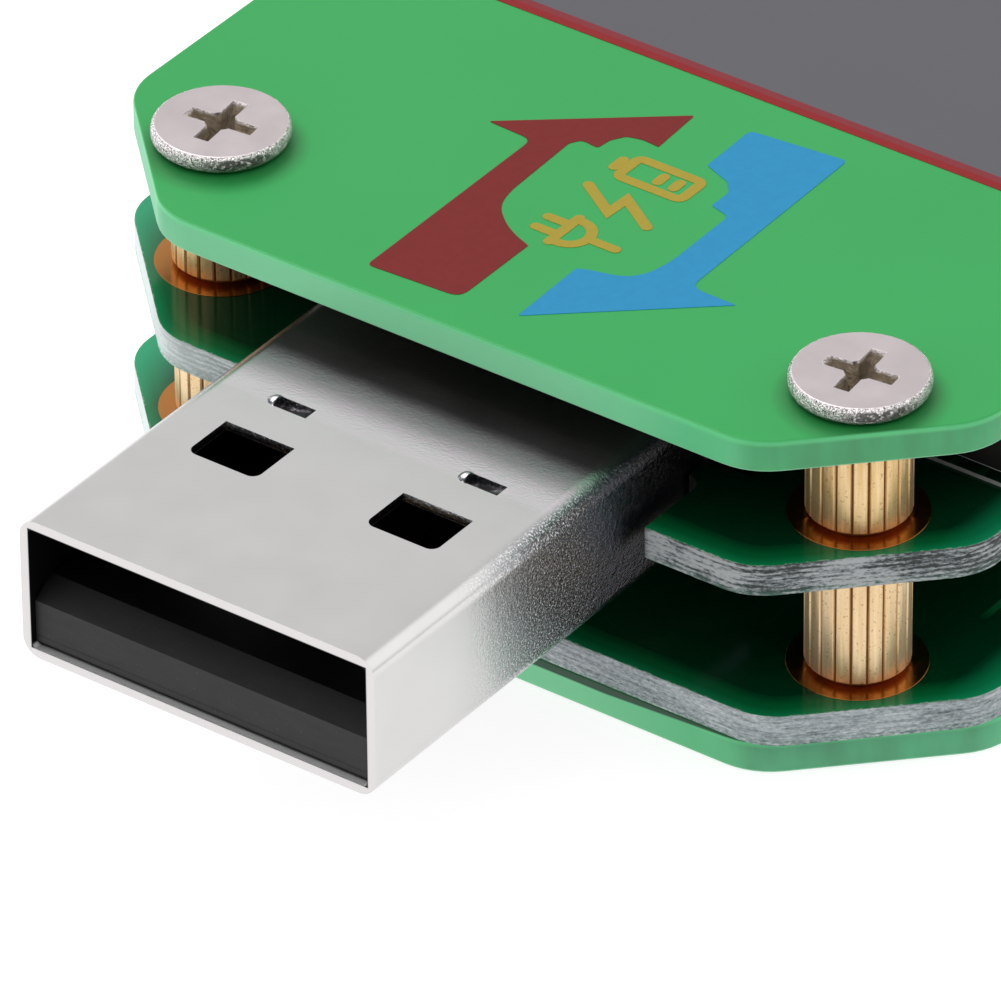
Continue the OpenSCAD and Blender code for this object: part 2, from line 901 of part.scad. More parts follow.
// The radio sits on its own small board on the lower board
module wireless_board() { chip(-14.9, 7.5, lower_top_z, [6, 4, 0.8], "#0f3f6a"); }
module wireless_shield() { chip(-15.5, 7.5, lower_top_z + 0.8, [4.2, 3.4, 1.2], "#c6c8ca"); }

module status_leds() {
    for (y = [-5.6, 5.6])
        chip(22.6, y, lower_top_z, [1.6, 0.8, 0.6], "#e8e4c8");
}

// ---------------------------------------------------------------- drawing

top_cover();
display_window();
bottom_cover();
upper_board();
lower_board();
upper_standoffs();
lower_standoffs();
top_screws();
bottom_screws();
fibre_washers();
plug_shell();
plug_insulator();
plug_contacts();
socket_shell();
socket_insulator();
socket_contacts();
input_c_shell();
input_c_insulator();
input_c_contacts();
output_c_shell();
output_c_insulator();
output_c_contacts();
micro_shell();
micro_insulator();
micro_contacts();
lcd_frame();
lcd_backlight();
lcd_glass();
lcd_polarizer();
lcd_bezel();
lcd_driver();
lcd_flex();
lcd_tape();
button_front_right();
button_front_left();
button_back_right();
button_back_left();
switch_housings();
switch_domes();
header_plug();
header_socket();
header_pins();
controller_chip();
controller_leads();
memory_chip();
regulator_chip();
driver_chip();
shunt_resistor();
inductor();
tantalum_capacitors();
ceramic_capacitors();
resistors();
crystal();
wireless_board();
wireless_shield();
status_leds();
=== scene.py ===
import json
import math
import random

import bmesh
import bpy
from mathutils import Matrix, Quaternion, Vector


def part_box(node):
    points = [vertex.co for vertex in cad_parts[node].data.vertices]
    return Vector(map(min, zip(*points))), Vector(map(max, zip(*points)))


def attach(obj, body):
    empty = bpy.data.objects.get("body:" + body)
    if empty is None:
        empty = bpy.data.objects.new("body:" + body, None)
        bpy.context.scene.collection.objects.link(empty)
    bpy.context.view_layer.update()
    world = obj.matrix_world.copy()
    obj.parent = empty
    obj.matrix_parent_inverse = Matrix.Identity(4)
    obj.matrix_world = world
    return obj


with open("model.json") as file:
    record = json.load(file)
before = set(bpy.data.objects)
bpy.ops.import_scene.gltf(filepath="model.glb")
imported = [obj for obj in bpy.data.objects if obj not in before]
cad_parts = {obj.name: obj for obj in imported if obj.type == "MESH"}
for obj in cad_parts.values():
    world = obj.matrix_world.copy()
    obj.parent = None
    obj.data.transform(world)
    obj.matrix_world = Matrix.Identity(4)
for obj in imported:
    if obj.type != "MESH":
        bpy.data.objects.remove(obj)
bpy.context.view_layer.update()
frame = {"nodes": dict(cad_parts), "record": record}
NODES = frame["nodes"]

MM = 0.001
MICRON = 0.000001


# ---------------------------------------------------------------- colours and node helpers

def srgb(red, green, blue):
    """Linear colour of an 8-bit display colour."""
    def linear(value):
        value /= 255
        return value / 12.92 if value <= 0.04045 else ((value + 0.055) / 1.055) ** 2.4
    return (linear(red), linear(green), linear(blue), 1.0)


class Look:
    """A material with one Principled shader, and short calls for the nodes that feed it."""

    def __init__(self, name, color, roughness, metallic=0.0, **sockets):
        self.material = bpy.data.materials.new(name)
        self.material.use_nodes = True
        self.tree = self.material.node_tree
        self.shader = self.tree.nodes["Principled BSDF"]
        self.shade(Base_Color=color, Roughness=roughness, Metallic=metallic, **sockets)
        self.place = self.node("ShaderNodeTexCoord").outputs["Object"]

    def node(self, kind, **settings):
        made = self.tree.nodes.new(kind)
        for key, value in settings.items():
            setattr(made, key, value)
        return made

    def feed(self, socket, value):
        """Links a socket to an output, or sets its own value."""
        if isinstance(value, bpy.types.NodeSocket):
            self.tree.links.new(value, socket)
        else:
            socket.default_value = value

    def shade(self, **sockets):
        """Feeds the shader's sockets, named with _ for a space."""
        for socket, value in sockets.items():
            self.feed(self.shader.inputs[socket.replace("_", " ")], value)

    def math(self, operation, a, b=0.0, c=0.0):
        made = self.node("ShaderNodeMath", operation=operation)
        for socket, value in zip(made.inputs, (a, b, c)):
            self.feed(socket, value)
        return made.outputs[0]

    def plus(self, a, b):
        return self.math("ADD", a, b)

    def minus(self, a, b):
        return self.math("SUBTRACT", a, b)

    def times(self, a, b):
        return self.math("MULTIPLY", a, b)

    def size(self, value):
        return self.math("ABSOLUTE", value)

    def rising(self, start, value, gain):
        """start + gain * value."""
        return self.plus(self.times(value, gain), start)

    def between(self, value, low, high):
        """0 on low's side, 1 on high's side and a straight ramp between them."""
        made = self.node("ShaderNodeMapRange")
        self.feed(made.inputs["Value"], value)
        made.inputs["From Min"].default_value = low
        made.inputs["From Max"].default_value = high
        return made.outputs[0]

    def stretched(self, scale):
        made = self.node("ShaderNodeVectorMath", operation="MULTIPLY")
        self.feed(made.inputs[0], self.place)
        made.inputs[1].default_value = scale
        return made.outputs[0]

    def noise(self, size, detail=2.0, roughness=0.5, stretch=(1, 1, 1)):
        """Noise with features of about that size in metres."""
        made = self.node("ShaderNodeTexNoise")
        self.feed(made.inputs["Vector"], self.stretched(stretch))
        made.inputs["Scale"].default_value = 1 / size
        made.inputs["Detail"].default_value = detail
        made.inputs["Roughness"].default_value = roughness
        return made.outputs["Fac"]

    def ramp(self, value, *stops):
        """Colour ramp; each stop is (place, colour or grey)."""
        made = self.node("ShaderNodeValToRGB")
        elements = made.color_ramp.elements
        while len(elements) < len(stops):
            elements.new(0.5)
        for element, (place, color) in zip(elements, stops):
            element.position = place
            element.color = color if isinstance(color, tuple) else (color, color, color, 1)
        self.feed(made.inputs[0], value)
        return made.outputs[0]

    def mix(self, factor, a, b):
        made = self.node("ShaderNodeMix", data_type="RGBA")
        self.feed(made.inputs[0], factor)
        self.feed(made.inputs[6], a)
        self.feed(made.inputs[7], b)
        return made.outputs[2]

    def over(self, base, color, mask, strength=1.0):
        """A colour laid over another where the mask is 1, with a strength."""
        return self.mix(self.times(mask, strength), base, color)

    def axis(self, letter, vector=None):
        made = self.node("ShaderNodeSeparateXYZ")
        self.feed(made.inputs[0], vector or self.place)
        return made.outputs[letter]

    def facing(self, letter):
        """How squarely the surface faces along an axis, from -1 to 1."""
        return self.axis(letter, self.node("ShaderNodeNewGeometry").outputs["Normal"])

    def squareness(self, letter):
        """How squarely the surface faces along an axis or against it, from 0 to 1."""
        return self.size(self.facing(letter))

    def above(self, height):
        """Distance above a height, or more than a metre for places below it."""
        over = self.minus(self.axis("Z"), height)
        below = self.math("LESS_THAN", over, -0.05 * MM)
        return self.plus(over, self.times(below, 2.0))

    def bump(self, height, distance, strength):
        made = self.node("ShaderNodeBump")
        self.feed(made.inputs["Strength"], strength)
        made.inputs["Distance"].default_value = distance
        self.feed(made.inputs["Height"], height)
        self.shade(Normal=made.outputs[0])


# ---------------------------------------------------------------- places and sizes

COVER_LOW, COVER_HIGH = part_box("top_cover")
BOTTOM_LOW, BOTTOM_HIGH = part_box("bottom_cover")
UPPER_LOW, UPPER_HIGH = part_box("upper_board")
LOWER_LOW, LOWER_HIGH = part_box("lower_board")
WINDOW_LOW, WINDOW_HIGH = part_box("display_window")
PLUG_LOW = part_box("plug_shell")[0]
SCREWS_LOW, SCREWS_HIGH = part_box("top_screws")
FRONT = COVER_LOW.x
TOP = COVER_HIGH.z

# Dimensions of part.scad that no box shows
HEAD_R = 2.0 * MM
STANDOFF_R = 1.5 * MM
UPPER_CUT = 4.65 * MM
LOWER_CUT = 4.5 * MM
PLUG_TALL = 4.5 * MM
PLUG_WIDE = 12.0 * MM

SCREW_X = (SCREWS_LOW.x + HEAD_R, SCREWS_HIGH.x - HEAD_R)
SCREW_Y = SCREWS_HIGH.y - HEAD_R
SCREW_SPOTS = [(x, side * SCREW_Y) for x in SCREW_X for side in (-1, 1)]


def from_screws(look, offset=(0, 0)):
    """Distance from the nearest screw axis, or from a spot at an offset from that axis."""
    middle = (SCREW_X[0] + SCREW_X[1]) / 2
    x = look.minus(look.axis("X"), offset[0])
    y = look.minus(look.axis("Y"), offset[1])
    dx = look.minus(look.size(look.minus(x, middle)), (SCREW_X[1] - SCREW_X[0]) / 2)
    dy = look.minus(look.size(y), SCREW_Y)
    return look.math("SQRT", look.plus(look.times(dx, dx), look.times(dy, dy)))


# ---------------------------------------------------------------- green cover sheets

GREEN_FACE = srgb(34, 145, 71)
# Painted light: the edge's front face is coloured lighter than its side faces.
GREEN_EDGE_LIT_FRONT = srgb(129, 218, 163)
GREEN_SIDE = srgb(64, 172, 108)
GREEN_SIDE_BELOW = srgb(90, 188, 138)
# Painted reflection of the floor along the bottom rim of an edge.
GREEN_FLOOR_REFLECTION = srgb(176, 236, 200)
SHADOW_SHIFT = (-0.34 * MM, -0.3 * MM)


def sheet_face(look, top_sheet):
    """Satin face, darker where a screw head shades it; the top sheet is greyer underneath."""
    face = look.mix(look.noise(9 * MM), srgb(31, 148, 70), srgb(40, 156, 78))
    shadow = look.between(from_screws(look, SHADOW_SHIFT), HEAD_R + 0.5 * MM, HEAD_R - 0.1 * MM)
    face = look.over(face, srgb(8, 84, 30), shadow, 0.62)
    if top_sheet:
        face = look.over(face, srgb(58, 80, 67), look.between(look.facing("Z"), -0.5, -0.9))
    return face


def sheet_edge(look, low, high, side_color):
    """Sawn edge with painted highlights along its rims, painted light that makes it palest on the front
    face, and painted shade where the standoffs show through.
    """
    # Painted light: the front face paler than the side faces, the side faces lighter towards the left
    # end, and the front face darker towards both ends.
    front = look.between(look.squareness("X"), 0.9, 0.995)
    left = look.between(look.axis("Y"), 4 * MM, 11 * MM)
    right = look.between(look.axis("Y"), -4 * MM, -8 * MM)
    at_side = look.over(side_color, srgb(98, 196, 148), left, 0.8)
    at_front = look.mix(right, GREEN_EDGE_LIT_FRONT, srgb(92, 192, 132))
    at_front = look.mix(left, at_front, srgb(108, 192, 142))
    pale = look.mix(front, at_side, at_front)
    pale = look.over(pale, srgb(112, 198, 150), look.noise(0.5 * MM, 3.0, 0.6, (1, 1, 0.25)), 0.25)
    pale = look.over(pale, srgb(70, 172, 104), look.noise(5 * MM), 0.2)
    # Painted shade: dark streaks where the standoffs would show through the translucent edge, fainter at
    # the left end.
    painted_see_through = look.between(from_screws(look), 4.4 * MM, 3.7 * MM)
    painted_see_through = look.times(painted_see_through, look.rising(1.0, left, -0.8))
    see_through_streaks = look.times(look.noise(0.8 * MM, 2.0, 0.5, (1, 1, 0.3)), painted_see_through)
    pale = look.over(pale, srgb(66, 84, 64), see_through_streaks, 0.6)
    height = look.axis("Z")
    # Painted highlight along the top rim, and painted reflection of the floor along the bottom rim.
    upper_rim_highlight = look.between(height, high - 0.2 * MM, high - 0.1 * MM)
    lower_rim_reflection = look.between(height, low + 0.07 * MM, low + 0.02 * MM)
    pale = look.over(pale, srgb(104, 216, 142), upper_rim_highlight, 0.5)
    return look.over(pale, GREEN_FLOOR_REFLECTION, lower_rim_reflection, 0.9)


def painted_gap_shadow(look, high):
    """Painted shadow of the gap along the top of the bottom sheet's front face, thinning out to the
    right.
    """
    deep = look.times(look.between(look.axis("Y"), -11 * MM, -5 * MM), 0.3 * MM)
    gap_shadow = look.between(look.plus(look.axis("Z"), deep), high, high + 0.05 * MM)
    at_front = look.between(look.axis("X"), BOTTOM_LOW.x + 0.16 * MM, BOTTOM_LOW.x + 0.1 * MM)
    return look.times(gap_shadow, at_front)


def green_sheet(name, low, high, side_color, top_sheet):
    """Translucent green sheet: a satin face, and a sawn edge with painted light and painted highlights
    along its rims.
    """
    look = Look(name, GREEN_FACE, 0.36, Specular_IOR_Level=0.34)
    edge = look.between(look.squareness("Z"), 0.92, 0.5)
    side = sheet_edge(look, low, high, side_color)
    if not top_sheet:
        # Painted shadow of the gap under the lower board.
        side = look.over(side, srgb(22, 30, 28), painted_gap_shadow(look, high), 0.9)
    look.shade(Base_Color=look.mix(edge, sheet_face(look, top_sheet), side))
    look.shade(Roughness=look.rising(0.32, edge, 0.08))
    saw_marks = look.times(look.noise(0.09 * MM, 2.0, 0.5, (1, 1, 0.15)), edge)
    look.bump(look.rising(saw_marks, look.noise(0.12 * MM), 0.3), 3 * MICRON, 0.4)
    return look.material


# ---------------------------------------------------------------- circuit boards

def outline_depth(look, low, high, cut):
    """Signed distance of a point from the edge of an octagonal board, negative inside."""
    across = look.minus(look.size(look.axis("Y")), high.y)
    from_middle = look.size(look.minus(look.axis("X"), (low.x + high.x) / 2))
    along = look.minus(from_middle, (high.x - low.x) / 2)
    slanted = look.times(look.plus(look.plus(across, along), cut), math.sqrt(0.5))
    soft = 0.7 * MM
    straight = look.math("SMOOTH_MAX", across, along, soft)
    return look.math("SMOOTH_MAX", straight, slanted, soft)


def fibre_edge(look, bottom, coarse, light_shade):
    """Sawn glass-fibre laminate: wavy plies with dark gaps, bright broken fibres."""
    wander = look.times(look.minus(look.noise(0.9 * MM, 3.0), 0.5), 0.16 * MM)
    level_in = look.minus(look.plus(look.axis("Z"), wander), bottom)
    ply = 0.17 * MM
    wave = look.math("SINE", look.times(level_in, 2 * math.pi / ply))
    strands = look.noise(0.9 * MM, 6.0, 0.75, (1, 1, 11))
    broken = look.noise(0.16 * MM, 4.0, 0.7, (1, 1, 2.2))
    patchy = look.minus(look.noise(2.6 * MM, 3.0, 0.6, (1, 1, 2)), 0.5)
    woven = look.times(look.rising(0.5, wave, 0.5), 0.06 * coarse)
    woven = look.rising(woven, strands, 0.55)
    woven = look.rising(woven, broken, 0.4)
    woven = look.rising(woven, patchy, 0.42 * coarse)
    greys = ((60, 68, 66), (118, 128, 128), (158, 168, 171), (222, 226, 227))
    dark, mid, light, bright = (srgb(*[light_shade * part for part in grey]) for grey in greys)
    spread = 0.04 / coarse
    centre = 0.48 + 0.03 * coarse
    glass = look.ramp(woven, (centre - 2 * spread, dark), (centre - spread, mid),
                      (centre, light), (centre + 2 * spread, bright))
    # Painted light: the edge lighter towards the left end.
    painted_light_left = look.between(look.axis("Y"), 6 * MM, 12 * MM)
    glass = look.over(glass, srgb(222, 234, 231), painted_light_left, 0.9)
    resin = look.between(look.axis("Z"), bottom + 0.24 * MM, bottom + 0.02 * MM)
    resin = look.times(resin, look.between(broken, 0.56, 0.42))
    return look.over(glass, srgb(44, 112, 88), resin, 0.6), woven


def tracks(look):
    """Runs of copper under the solder mask, behind the plug."""
    made = look.node("ShaderNodeTexBrick", offset=0.37, offset_frequency=2, squash=0.6,
                     squash_frequency=3)
    look.feed(made.inputs["Vector"], look.place)
    for socket, value in (("Color1", 0.0), ("Color2", 0.0), ("Mortar", 1.0)):
        made.inputs[socket].default_value = (value, value, value, 1)
    for socket, value in (("Scale", 1 / MM), ("Mortar Size", 0.12), ("Mortar Smooth", 0.1),
                          ("Brick Width", 7.3), ("Row Height", 0.9)):
        made.inputs[socket].default_value = value
    run = look.between(look.noise(5 * MM, 1.0), 0.46, 0.5)
    behind = look.between(look.axis("X"), FRONT + 7 * MM, FRONT + 8 * MM)
    return look.times(look.times(made.outputs["Color"], run), behind)


def solder_mask(look, low, high, depth):
    """Dark green over copper, lighter along the bare brim, with a painted sheen along the left and right
    flanks, and chipped at the very edge.
    """
    mask = look.mix(look.noise(4 * MM, 3.0), srgb(0, 44, 22), srgb(0, 58, 30))
    bare = look.between(depth, -1.0 * MM, -0.5 * MM)
    mask = look.over(mask, srgb(4, 94, 50), bare)
    brim = look.between(depth, -0.4 * MM, -0.04 * MM)
    mask = look.over(mask, srgb(20, 146, 92), brim, 0.5)
    # Painted sheen: the mask paler along the left and right flanks, most on the left.
    left = look.between(look.axis("Y"), high.y - 2.2 * MM, high.y - 0.4 * MM)
    right = look.between(look.axis("Y"), low.y + 1.2 * MM, low.y + 0.1 * MM)
    flank_sheen = look.math("MAXIMUM", left, look.times(right, 0.35))
    mask = look.over(mask, srgb(30, 172, 122), flank_sheen, 0.85)
    mask = look.over(mask, srgb(6, 104, 56), tracks(look), 0.8)
    chips = look.times(look.between(depth, -0.06 * MM, -0.03 * MM),
                       look.between(look.noise(0.2 * MM, 3.0, 0.7), 0.5, 0.6))
    return look.over(mask, srgb(150, 170, 160), chips, 0.7)


def circuit_board(name, low, high, cut, coarse, light_shade, dark_notch_walls):
    """Gloss solder mask over copper, and a raw sawn edge of glass-fibre layers."""
    look = Look(name, srgb(0, 40, 20), 0.16, Specular_IOR_Level=0.36)
    edge = look.between(look.squareness("Z"), 0.9, 0.4)
    mask = solder_mask(look, low, high, outline_depth(look, low, high, cut))
    glass, woven = fibre_edge(look, low.z, coarse, light_shade)
    if dark_notch_walls:
        # The notch walls beside the plug are coloured dark brown.
        in_notch = look.between(look.size(look.axis("Y")), 6.75 * MM, 6.5 * MM)
        glass = look.over(glass, srgb(26, 22, 14), in_notch, 0.94)
    look.shade(Base_Color=look.mix(edge, mask, glass))
    look.shade(Roughness=look.rising(0.13, edge, 0.5))
    rough_edge = look.times(look.times(woven, edge), 6.0)
    look.bump(look.rising(rough_edge, look.noise(0.8 * MM), 0.1), 9 * MICRON, 0.7)
    return look.material


# ---------------------------------------------------------------- metals

def shell_nickel():
    """Nickel-plated sheet steel, rougher where it was drawn."""
    look = Look("shell_nickel", srgb(206, 205, 204), 0.24, 1.0)
    side = look.between(look.squareness("Z"), 0.985, 0.6)
    look.bump(look.noise(0.1 * MM, 3.0, 0.6), 9 * MICRON, look.rising(0.3, side, 0.7))
    stain = look.noise(1.7 * MM, 3.0)
    look.shade(Base_Color=look.mix(stain, srgb(203, 202, 201), srgb(212, 211, 210)))
    look.shade(Roughness=look.rising(0.2, stain, 0.08))
    return look.material


def plug_plating(look, stain, side):
    """Outer plating with painted light near the covers, a pink tint that cancels the cover's green
    reflection and a painted shadow band in front of the cover, with the sides greyer towards the back;
    also returns where the tint lies.
    """
    along = look.axis("X")
    plated = look.mix(stain, srgb(205, 204, 203), srgb(214, 213, 212))
    inside_edges = look.between(look.size(look.axis("Y")), PLUG_WIDE / 2 - 0.1 * MM,
                                PLUG_WIDE / 2 - 0.7 * MM)
    flat = look.times(look.between(look.squareness("Z"), 0.8, 0.95), inside_edges)
    # Painted light near the cover: a pink tint that cancels the cover's green reflection on the top and
    # bottom faces, and a darker band, a painted shadow, just in front of the cover.
    to_cover = look.between(along, FRONT - 3.6 * MM, FRONT)
    painted_cover_tint = look.ramp(
        to_cover, (0.0, srgb(209, 208, 207)), (0.26, srgb(233, 217, 228)),
        (0.36, srgb(236, 206, 226)), (0.5, srgb(220, 179, 205)), (0.66, srgb(208, 175, 196)),
        (0.79, srgb(152, 140, 146)), (1.0, srgb(205, 193, 194)))
    near_cover_tint = look.times(look.between(to_cover, 0.0, 0.12), flat)
    plated = look.mix(near_cover_tint, plated, painted_cover_tint)
    # The side faces greyer and bluer towards the back.
    greyer_to_back = look.times(side, look.between(along, PLUG_LOW.x + 4.9 * MM, FRONT - 3.2 * MM))
    plated = look.mix(greyer_to_back, plated, srgb(124, 130, 142))
    pricked = look.math("POWER", look.between(along, FRONT - 8.2 * MM, FRONT - 4.2 * MM), 1.6)
    pricked = look.times(pricked, look.between(along, FRONT - 0.9 * MM, FRONT - 2.6 * MM))
    pricked = look.times(pricked, look.between(look.squareness("Z"), 0.97, 0.8))
    pricks = look.ramp(look.noise(0.06 * MM, 2.0, 0.7), (0.38, 0.006), (0.52, 0.2), (0.63, 0.95))
    return look.over(plated, pricks, pricked, 0.7), near_cover_tint


def plug_shade(look):
    """Painted shade where the shell's top is sunk or its ears spread: darker than open metal."""
    from_middle = look.size(look.axis("Y"))
    sunk = look.between(look.minus(PLUG_LOW.z + PLUG_TALL, look.axis("Z")), 0.03 * MM, 0.1 * MM)
    sunk = look.times(sunk, look.between(look.facing("Z"), 0.2, 0.5))
    sunk = look.times(sunk, look.between(from_middle, 5.1 * MM, 5.0 * MM))
    blotches = look.between(look.noise(0.35 * MM), 0.6, 0.5)
    sunk = look.times(sunk, look.rising(0.5, blotches, 0.45))
    ears = look.between(from_middle, PLUG_WIDE / 2 + 0.02 * MM, PLUG_WIDE / 2 + 0.1 * MM)
    return look.math("MAXIMUM", sunk, ears)


def plug_inside(look):
    """1 on the faces inside the shell, which lie 0.3 mm deep."""
    just_under = 0.27 * MM
    off_y = look.minus(look.size(look.axis("Y")), PLUG_WIDE / 2 - just_under)
    off_z = look.size(look.minus(look.axis("Z"), PLUG_LOW.z + PLUG_TALL / 2))
    off_z = look.minus(off_z, PLUG_TALL / 2 - just_under)
    return look.between(look.math("MAXIMUM", off_y, off_z), 0.02 * MM, -0.02 * MM)


def plug_nickel():
    """The plug's shell: drawn nickel, grainy towards the covers, with painted shade inside and a painted
    highlight on the lip of its mouth.
    """
    look = Look("plug_nickel", srgb(206, 205, 204), 0.2, 1.0)
    along = look.axis("X")
    side = look.between(look.squareness("Z"), 0.99, 0.7)
    back = look.between(along, PLUG_LOW.x + 4 * MM, FRONT)
    grainy = look.rising(0.05, look.times(side, back), 0.85)
    grainy = look.rising(grainy, back, 0.2)
    peel = look.rising(look.noise(0.085 * MM, 3.0, 0.65), look.noise(0.3 * MM), 0.5)
    look.bump(peel, 36 * MICRON, grainy)
    stain = look.noise(1.7 * MM, 3.0)
    plated, near_cover_tint = plug_plating(look, stain, side)
    # Painted shade: near black where the top is sunk and on the ears.
    plated = look.mix(plug_shade(look), plated, srgb(16, 16, 17))
    # Painted shade: the faces inside the shell near black, with a painted highlight along the lip at the
    # mouth.
    inside = plug_inside(look)
    lip_highlight = look.times(look.between(along, PLUG_LOW.x + 0.3 * MM, PLUG_LOW.x + 0.2 * MM),
                     look.between(look.facing("Z"), 0.3, 0.7))
    plated = look.mix(inside, plated, look.mix(lip_highlight, srgb(30, 30, 31), srgb(240, 240, 240)))
    cut_end = look.times(look.between(look.squareness("X"), 0.85, 0.98), look.minus(1.0, inside))
    at_mouth = look.between(along, PLUG_LOW.x + 0.5 * MM, PLUG_LOW.x + 0.4 * MM)
    plated = look.mix(look.times(cut_end, at_mouth), plated, srgb(210, 207, 206))
    rough = look.rising(0.17, stain, 0.06)
    rough = look.rising(rough, near_cover_tint, 0.05)
    rough = look.rising(rough, inside, 0.4)
    look.shade(Base_Color=plated, Roughness=rough)
    return look.material


def screw_nickel(name, top):
    """Bright nickel with a smooth face, a crushed rim with random facets and painted glints, a painted
    dark reflection on the rim's front right, and a dark brownish recess.
    """
    look = Look(name, srgb(212, 202, 204), 0.26, 1.0)
    rim = look.between(look.squareness("Z"), 0.985, 0.85)
    depth = look.size(look.minus(look.axis("Z"), top))
    recess_r = 1.25 * MM
    sunk = look.times(look.between(depth, 0.02 * MM, 0.12 * MM),
                      look.between(from_screws(look), recess_r + 0.05 * MM, recess_r))
    crushed = look.rising(look.noise(0.045 * MM, 3.0, 0.75), look.noise(0.16 * MM), 1.4)
    brushed = look.times(look.noise(0.5 * MM), 0.03)
    look.bump(look.plus(look.times(crushed, rim), brushed), 60 * MICRON, 1.0)
    tint = look.noise(1.0 * MM, 3.0)
    face = look.mix(tint, srgb(194, 184, 185), srgb(212, 202, 204))
    # Partly painted: the crushed rim's facets vary at random, with painted glints near white.
    facet_glints = look.ramp(look.noise(0.05 * MM, 3.0, 0.7), (0.37, srgb(84, 76, 78)),
                       (0.47, srgb(218, 210, 211)), (0.58, srgb(255, 250, 250)))
    # Painted dark reflection on the rim where it faces front right.
    to_front_right = look.plus(look.times(look.facing("X"), -0.62),
                               look.times(look.facing("Y"), -0.78))
    painted_dark_reflection = look.times(look.between(to_front_right, 0.8, 0.93),
                       look.between(look.noise(0.12 * MM), 0.36, 0.5))
    facet_glints = look.over(facet_glints, srgb(74, 68, 70), painted_dark_reflection, 0.85)
    face = look.mix(rim, face, facet_glints)
    # The recess darker and browner.
    recess_brown = look.mix(look.noise(0.22 * MM), srgb(92, 78, 62), srgb(190, 176, 156))
    look.shade(Base_Color=look.mix(sunk, face, recess_brown))
    look.shade(Roughness=look.rising(look.rising(0.26, tint, 0.1), rim, -0.14))
    return look.material


def brass():
    """Drawn brass with lengthwise streaks, tarnish in its grooves and small pits; painted light makes the
    lower standoffs lighter than the upper ones, and a painted reflection of the pads tints their feet
    orange.
    """
    look = Look("brass", srgb(226, 192, 138), 0.4, 0.72)
    streaks = look.noise(0.16 * MM, 3.0, 0.6, (1, 1, 0.05))
    drawn = look.ramp(streaks, (0.28, srgb(200, 154, 92)), (0.48, srgb(222, 184, 126)),
                      (0.7, srgb(242, 212, 170)))
    # Painted light: the lower standoffs lighter than the upper ones.
    on_upper = look.mix(0.2, drawn, srgb(240, 216, 162))
    on_lower = look.mix(0.4, drawn, srgb(255, 232, 196))
    drawn = look.mix(look.between(look.axis("Z"), UPPER_HIGH.z, UPPER_LOW.z), on_upper, on_lower)
    groove = look.between(from_screws(look), STANDOFF_R - 0.03 * MM, STANDOFF_R - 0.08 * MM)
    drawn = look.over(drawn, srgb(112, 66, 26), groove, 0.75)
    # Painted reflection: the pads' orange on the lowest 0.4 mm of each standoff.
    foot = look.math("MINIMUM", look.above(UPPER_HIGH.z), look.above(LOWER_HIGH.z))
    drawn = look.over(drawn, srgb(214, 138, 60), look.between(foot, 0.4 * MM, 0.02 * MM), 0.3)
    speckle = look.between(look.noise(0.09 * MM), 0.62, 0.7)
    drawn = look.over(drawn, srgb(120, 82, 44), speckle, 0.45)
    look.shade(Base_Color=drawn, Roughness=look.rising(0.3, streaks, 0.12))
    pits = look.times(look.noise(0.06 * MM, 4.0, 0.7), look.between(look.noise(0.5 * MM), 0.4, 0.65))
    look.bump(look.rising(pits, streaks, 0.5), 7 * MICRON, 0.8)
    return look.material


def gold_plate(name, color):
    """Gold on copper, with a hazy gloss."""
    look = Look(name, color, 0.2, 1.0)
    haze = look.noise(0.3 * MM, 3.0)
    look.shade(Roughness=look.rising(0.14, haze, 0.18))
    look.bump(haze, 4 * MICRON, 0.4)
    return look.material


def tinned():
    """Tin that flowed unevenly as it was soldered."""
    look = Look("tinned", srgb(196, 200, 204), 0.3, 1.0)
    flow = look.noise(0.25 * MM, 3.0)
    look.shade(Roughness=look.rising(0.18, flow, 0.3))
    look.bump(flow, 8 * MICRON, 0.5)
    return look.material


# ---------------------------------------------------------------- plastics, inks and the table

def moulded(name, dark, light, roughness, grain, depth):
    """Moulded plastic or epoxy with a fine spark-eroded grain."""
    look = Look(name, srgb(*dark), roughness)
    look.shade(Base_Color=look.mix(look.noise(1.1 * MM, 3.0), srgb(*dark), srgb(*light)))
    skin = look.noise(grain * MM, 3.0, 0.6)
    look.bump(skin, depth * MICRON, 0.6)
    look.shade(Roughness=look.rising(roughness - 0.08, skin, 0.16))
    return look.material


def tongue_plastic():
    """Charcoal moulding with painted shade on its bevelled top edge, with dust and fine scratches."""
    look = Look("tongue_plastic", srgb(40, 40, 41), 0.5, Specular_IOR_Level=0.3)
    front = look.mix(look.noise(1.2 * MM, 3.0), srgb(29, 29, 30), srgb(37, 37, 38))
    dust = look.between(look.noise(0.1 * MM, 3.0, 0.7), 0.66, 0.74)
    front = look.over(front, srgb(120, 120, 120), dust, 0.25)
    from_parting = look.size(look.minus(look.axis("Z"), PLUG_LOW.z + 0.62 * MM))
    front = look.over(front, srgb(12, 12, 13), look.between(from_parting, 0.045 * MM, 0.02 * MM), 0.8)
    # Painted shade: faces that tilt upwards, the bevel among them, near black.
    bevel = look.between(look.facing("Z"), 0.1, 0.35)
    look.shade(Base_Color=look.mix(bevel, front, srgb(9, 9, 10)))
    scratch = look.noise(0.3 * MM, 4.0, 0.7, (1, 0.25, 1))
    look.shade(Roughness=look.rising(0.36, scratch, 0.3))
    look.bump(look.plus(look.noise(0.06 * MM), scratch), 5 * MICRON, 0.6)
    return look.material


def smoked_window():
    """Smoked sheet under a matt protective film."""
    look = Look("smoked_window", srgb(100, 99, 105), 0.7, Specular_IOR_Level=0.12)
    look.shade(Base_Color=look.mix(look.noise(6 * MM), srgb(91, 90, 95), srgb(95, 94, 99)))
    dust = look.noise(0.2 * MM)
    look.shade(Roughness=look.rising(0.62, dust, 0.1))
    look.bump(dust, 1 * MICRON, 0.2)
    return look.material


